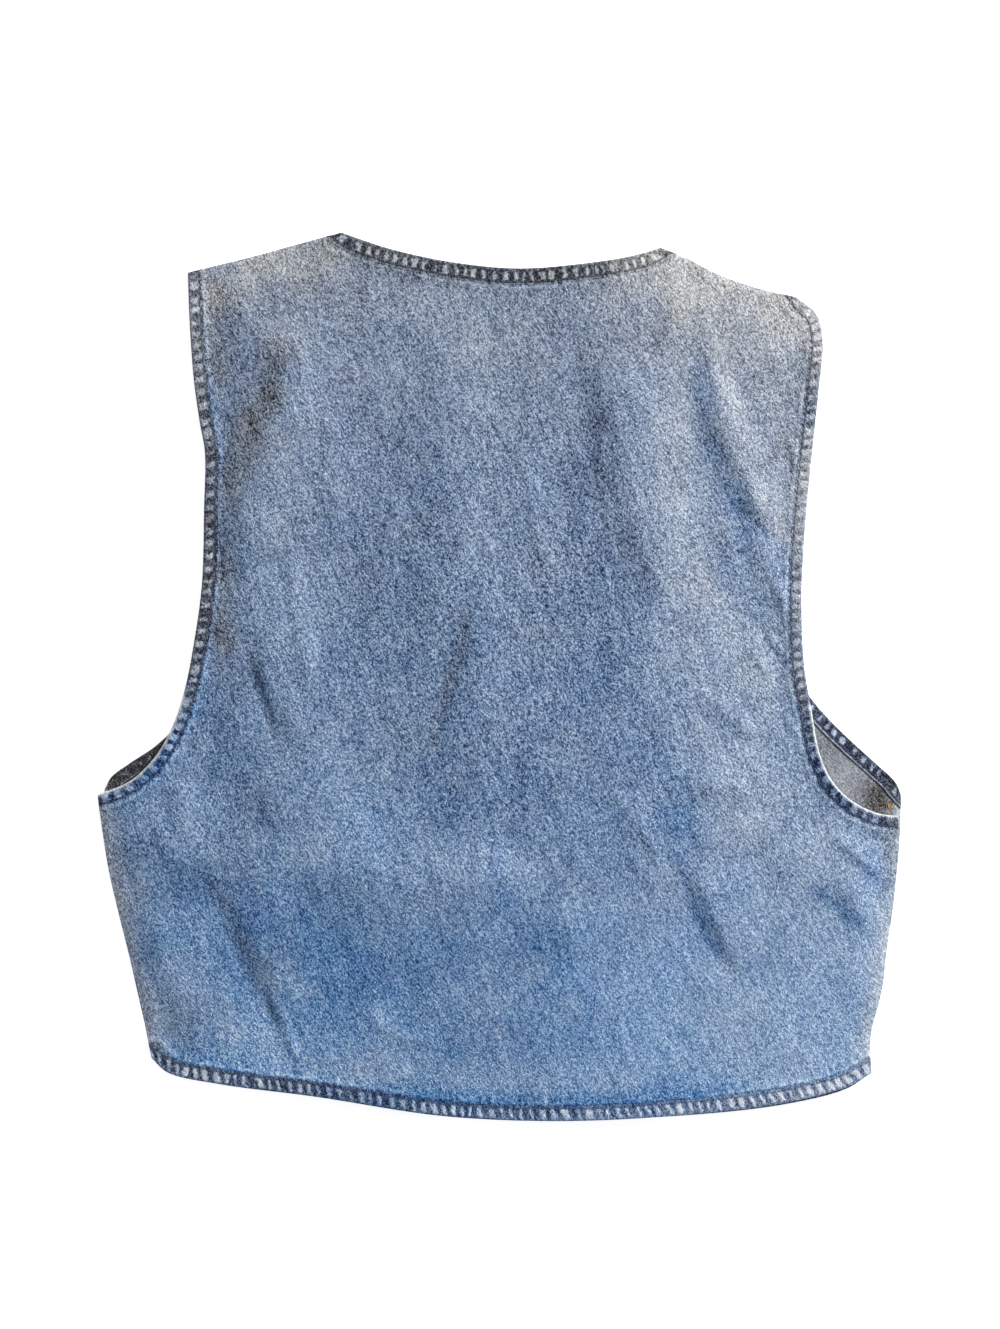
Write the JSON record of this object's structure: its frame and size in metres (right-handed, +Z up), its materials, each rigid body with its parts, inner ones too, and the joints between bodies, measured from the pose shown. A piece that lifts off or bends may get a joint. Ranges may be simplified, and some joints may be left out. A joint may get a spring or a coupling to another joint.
{
  "type": "denim vest",
  "caption": "Cropped sleeveless denim vest laid flat face down, its plain back on top, with an open V neck and buttoned fronts beneath.",
  "frame": {"origin": "centre of the laid vest's outline, on the surface it lies on", "axes": "+X towards the wearer's right side, +Y towards the neck, +Z up out of the back"},
  "size_m": [0.4816, 0.5316, 0.0134],
  "materials": {
    "denim": "washed blue cotton denim, worn pale",
    "denim_front": "washed blue cotton denim, its paler wrong side inwards",
    "denim_hem": "turned and stitched denim hem, roped in light and dark",
    "button_metal": "plain dulled metal"
  },
  "bodies": {
    "root": {"back_panel": "denim", "front_panel_left": "denim_front", "front_panel_right": "denim_front", "back_neck_hem": "denim_hem", "back_hem": "denim_hem", "back_armhole_hem_left": "denim_hem", "back_armhole_hem_right": "denim_hem", "front_hem_left": "denim_hem", "front_hem_right": "denim_hem", "front_armhole_hem_left": "denim_hem", "front_armhole_hem_right": "denim_hem", "front_edge_hem_left": "denim_hem", "front_edge_hem_right": "denim_hem", "button_1": "button_metal", "button_2": "button_metal", "button_3": "button_metal", "button_4": "button_metal", "button_5": "button_metal"}
  },
  "joints": []
}
